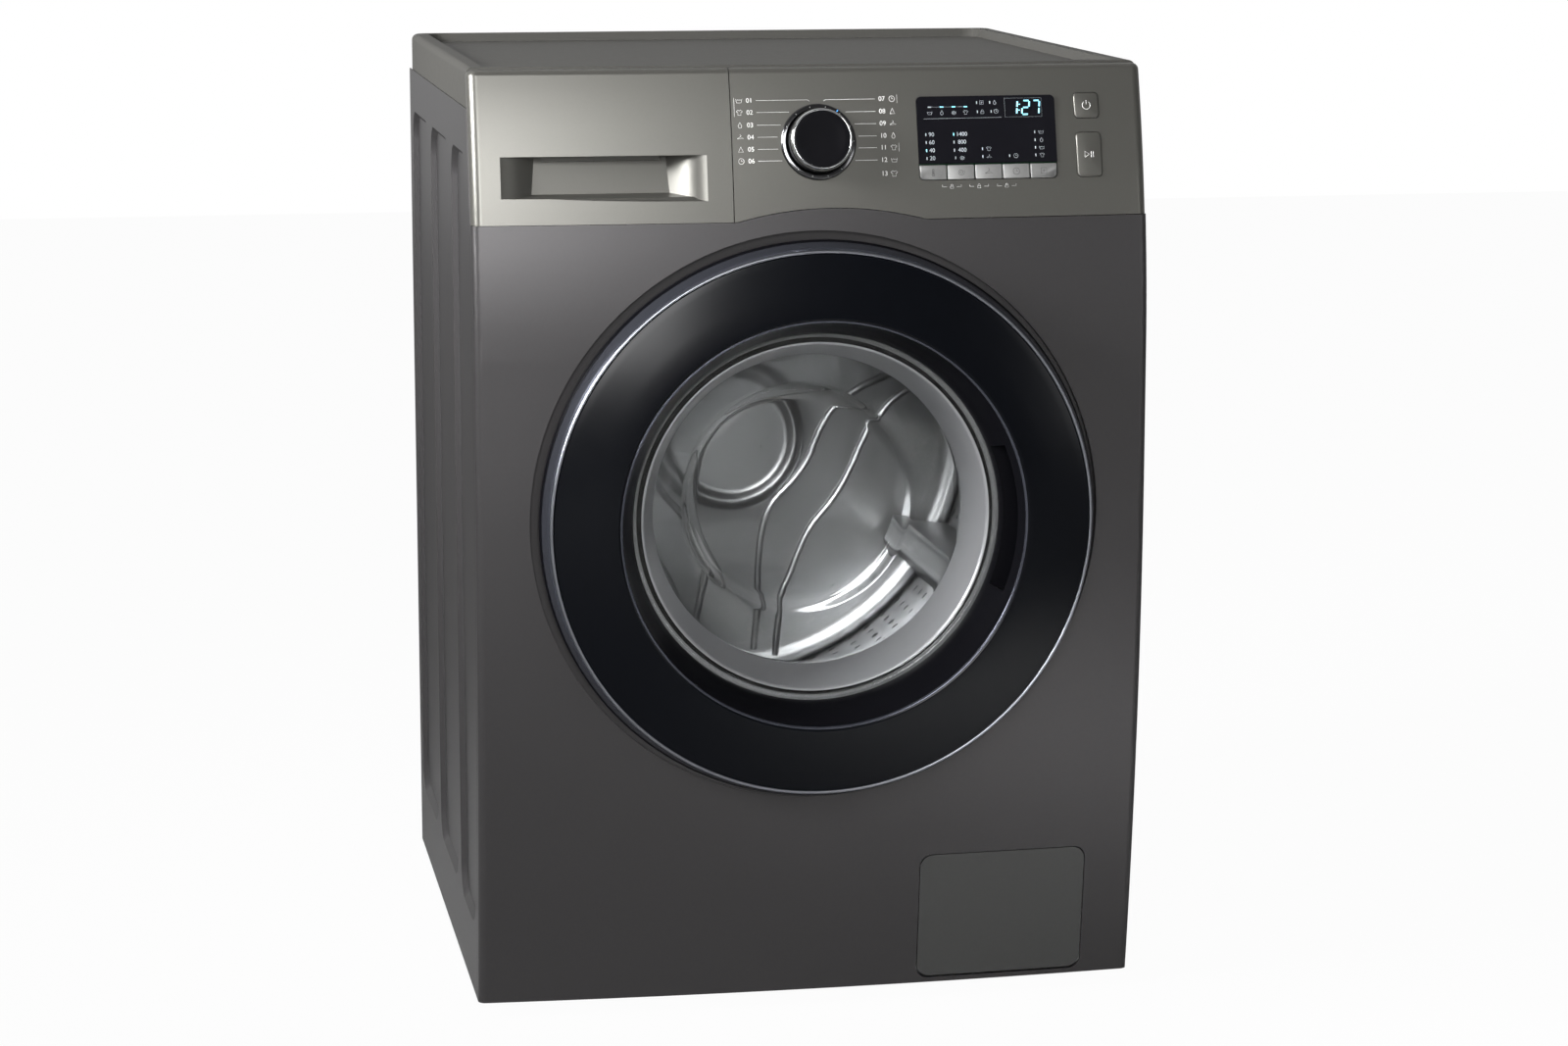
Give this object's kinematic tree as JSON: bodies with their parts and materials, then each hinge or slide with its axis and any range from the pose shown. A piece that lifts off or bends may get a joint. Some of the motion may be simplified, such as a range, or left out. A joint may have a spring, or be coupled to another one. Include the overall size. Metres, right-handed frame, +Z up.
{
  "type": "front load washing machine",
  "caption": "Graphite front loading washer dryer with bowed front, round glass door, detergent drawer, selector knob, display with keys and a filter flap",
  "frame": {"origin": "on the floor under the middle of the outer box", "axes": "+Z up, the front faces -Y, +X to the right seen from the front"},
  "size_m": [0.6, 0.68, 0.85],
  "materials": {
    "cabinet_paint": "satin graphite grey paint",
    "zinc_steel": "zinc plated steel",
    "worktop_plastic": "satin grey moulded plastic",
    "fascia_plastic": "satin metallic grey moulded plastic",
    "flap_plastic": "satin dark grey moulded plastic",
    "display_black": "clear fronted gloss black",
    "key_silver": "silver lacquer",
    "chrome_trim": "dark polished chrome",
    "knob_black": "gloss black",
    "door_gloss_black": "polished blue black",
    "door_frame_grey": "satin dark grey",
    "door_glass": "clear pressed glass",
    "seal_rubber": "matt grey",
    "foot_rubber": "matt black",
    "hose_rubber": "matt black",
    "drum_steel": "bright rolled stainless steel",
    "paddle_plastic": "satin light grey",
    "cast_aluminium": "as cast",
    "tub_plastic": "glass filled grey",
    "white_plastic": "satin white",
    "concrete": "cast concrete",
    "board_green": "coated circuit board"
  },
  "bodies": {
    "cabinet": {"left_side_panel": "cabinet_paint", "right_side_panel": "cabinet_paint", "front_panel": "cabinet_paint", "base_pan": "zinc_steel", "back_panel": "zinc_steel", "cabinet_braces": "zinc_steel", "cabinet_screws": "zinc_steel", "foot_lock_nuts": "zinc_steel", "door_hinge_bracket": "zinc_steel", "door_hinge_pin": "zinc_steel", "drum_bearings": "zinc_steel", "tub_suspension": "zinc_steel", "heater": "zinc_steel", "worktop_frame": "worktop_plastic", "worktop_board": "worktop_plastic", "control_panel": "fascia_plastic", "display_window": "display_black", "knob_bezel": "chrome_trim", "door_seal": "seal_rubber", "inner_hoses": "hose_rubber", "drive_belt": "hose_rubber", "cord_gland": "hose_rubber", "motor_body": "cast_aluminium", "tub_front": "tub_plastic", "tub_rear": "tub_plastic", "drawer_housing": "white_plastic", "water_inlet_valve": "white_plastic", "drain_pump": "white_plastic", "drain_outlet": "white_plastic", "door_lock": "white_plastic", "counterweights": "concrete", "control_board": "board_green"},
    "door": {"door_outer_ring": "door_gloss_black", "door_funnel": "door_gloss_black", "door_glass_bowl": "door_glass", "door_inner_frame": "door_frame_grey", "door_hinge_arm": "zinc_steel", "door_latch_hook": "zinc_steel"},
    "drawer": {"drawer_front": "fascia_plastic", "drawer_tray": "white_plastic"},
    "program_knob": {"program_knob": "knob_black"},
    "power_button": {"power_button": "key_silver"},
    "start_button": {"start_button": "key_silver"},
    "filter_flap": {"filter_flap": "flap_plastic"},
    "filter_plug": {"filter_plug": "white_plastic"},
    "drum": {"drum_shell": "drum_steel", "drum_paddles": "paddle_plastic", "drum_spider": "cast_aluminium", "drum_shaft": "zinc_steel", "drum_pulley": "cast_aluminium"},
    "motor_rotor": {"motor_shaft": "zinc_steel"},
    "option_button_1": {"option_button_1": "key_silver"},
    "option_button_2": {"option_button_2": "key_silver"},
    "option_button_3": {"option_button_3": "key_silver"},
    "option_button_4": {"option_button_4": "key_silver"},
    "option_button_5": {"option_button_5": "key_silver"},
    "foot_front_left": {"foot_front_left": "foot_rubber"},
    "foot_front_right": {"foot_front_right": "foot_rubber"},
    "foot_rear_left": {"foot_rear_left": "foot_rubber"},
    "foot_rear_right": {"foot_rear_right": "foot_rubber"}
  },
  "joints": [
    {"name": "door_swing", "type": "hinge", "parent": "cabinet", "child": "door", "pos_m": [-0.229, -0.315, 0.455], "axis": [0, 0, -1], "range_deg": [0, 135]},
    {"name": "drawer_pull", "type": "slide", "parent": "cabinet", "child": "drawer", "axis": [0, -1, 0], "range_m": [0, 0.2]},
    {"name": "knob_turn", "type": "hinge", "parent": "cabinet", "child": "program_knob", "pos_m": [0.0035, -0.28105, 0.7845], "axis": [0.0008, -0.9745, 0.2242], "continuous": true},
    {"name": "flap_swing", "type": "hinge", "parent": "cabinet", "child": "filter_flap", "pos_m": [0.176, -0.25937, 0.024], "axis": [0.9992, 0.0394, 0], "range_deg": [0, 72]},
    {"name": "plug_turn", "type": "hinge", "parent": "cabinet", "child": "filter_plug", "pos_m": [0.172, -0.25, 0.076], "axis": [0, -1, 0], "range_deg": [0, 270]},
    {"name": "drum_turn", "type": "hinge", "parent": "cabinet", "child": "drum", "pos_m": [0, 0, 0.455], "axis": [0, 1, 0], "continuous": true},
    {"name": "motor_turn", "type": "hinge", "parent": "cabinet", "child": "motor_rotor", "pos_m": [0.11, 0.2, 0.125], "axis": [0, 1, 0], "continuous": true},
    {"name": "power_press", "type": "slide", "parent": "cabinet", "child": "power_button", "axis": [-0.0532, 0.9647, -0.258], "range_m": [0, 0.001], "stiffness_N_per_m": 900, "springref_m": -0.001},
    {"name": "start_press", "type": "slide", "parent": "cabinet", "child": "start_button", "axis": [-0.054, 0.977, -0.2064], "range_m": [0, 0.001], "stiffness_N_per_m": 900, "springref_m": -0.001},
    {"name": "option_1_press", "type": "slide", "parent": "cabinet", "child": "option_button_1", "axis": [-0.0229, 0.9815, -0.1903], "range_m": [0, 0.001], "stiffness_N_per_m": 900, "springref_m": -0.001},
    {"name": "option_2_press", "type": "slide", "parent": "cabinet", "child": "option_button_2", "axis": [-0.0284, 0.9813, -0.1903], "range_m": [0, 0.001], "stiffness_N_per_m": 900, "springref_m": -0.001},
    {"name": "option_3_press", "type": "slide", "parent": "cabinet", "child": "option_button_3", "axis": [-0.0339, 0.9811, -0.1903], "range_m": [0, 0.001], "stiffness_N_per_m": 900, "springref_m": -0.001},
    {"name": "option_4_press", "type": "slide", "parent": "cabinet", "child": "option_button_4", "axis": [-0.0394, 0.9809, -0.1903], "range_m": [0, 0.001], "stiffness_N_per_m": 900, "springref_m": -0.001},
    {"name": "option_5_press", "type": "slide", "parent": "cabinet", "child": "option_button_5", "axis": [-0.0449, 0.9807, -0.1903], "range_m": [0, 0.001], "stiffness_N_per_m": 900, "springref_m": -0.001},
    {"name": "foot_front_left_level", "type": "slide", "parent": "cabinet", "child": "foot_front_left", "axis": [0, 0, -1], "range_m": [0, 0.012]},
    {"name": "foot_front_right_level", "type": "slide", "parent": "cabinet", "child": "foot_front_right", "axis": [0, 0, -1], "range_m": [0, 0.012]},
    {"name": "foot_rear_left_level", "type": "slide", "parent": "cabinet", "child": "foot_rear_left", "axis": [0, 0, -1], "range_m": [0, 0.012]},
    {"name": "foot_rear_right_level", "type": "slide", "parent": "cabinet", "child": "foot_rear_right", "axis": [0, 0, -1], "range_m": [0, 0.012]}
  ],
  "couplings": [
    {"joint": "motor_turn", "follows": "drum_turn", "ratio": 11.667}
  ]
}
